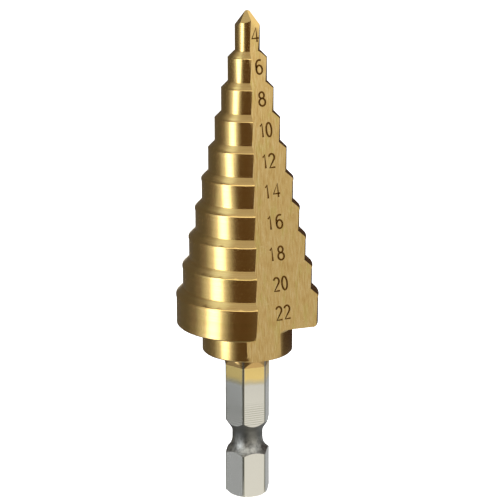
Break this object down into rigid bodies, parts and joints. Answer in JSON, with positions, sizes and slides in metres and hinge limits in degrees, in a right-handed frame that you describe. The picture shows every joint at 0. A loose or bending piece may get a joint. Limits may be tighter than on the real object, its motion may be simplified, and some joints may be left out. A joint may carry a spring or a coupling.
{
  "type": "step drill",
  "caption": "Stepped conical drill with two straight flutes and a split point, on a hexagon shank with a detent groove, for opening and enlarging round holes in sheet metal.",
  "frame": {"origin": "centre of the flat end face of the shank, on the axis of the drill", "axes": "+Z along the axis from the shank to the point; one flat of the hexagon and the engraved wall of one flute face -Y; +X to the right of someone who looks along +Y"},
  "size_m": [0.022, 0.0216, 0.076],
  "materials": {
    "steel": "ground high-speed steel with a gold titanium nitride coating from the point down to the collar, fading to bare turned and milled steel on the shank"
  },
  "bodies": {
    "root": {"step_drill": "steel"}
  },
  "joints": []
}
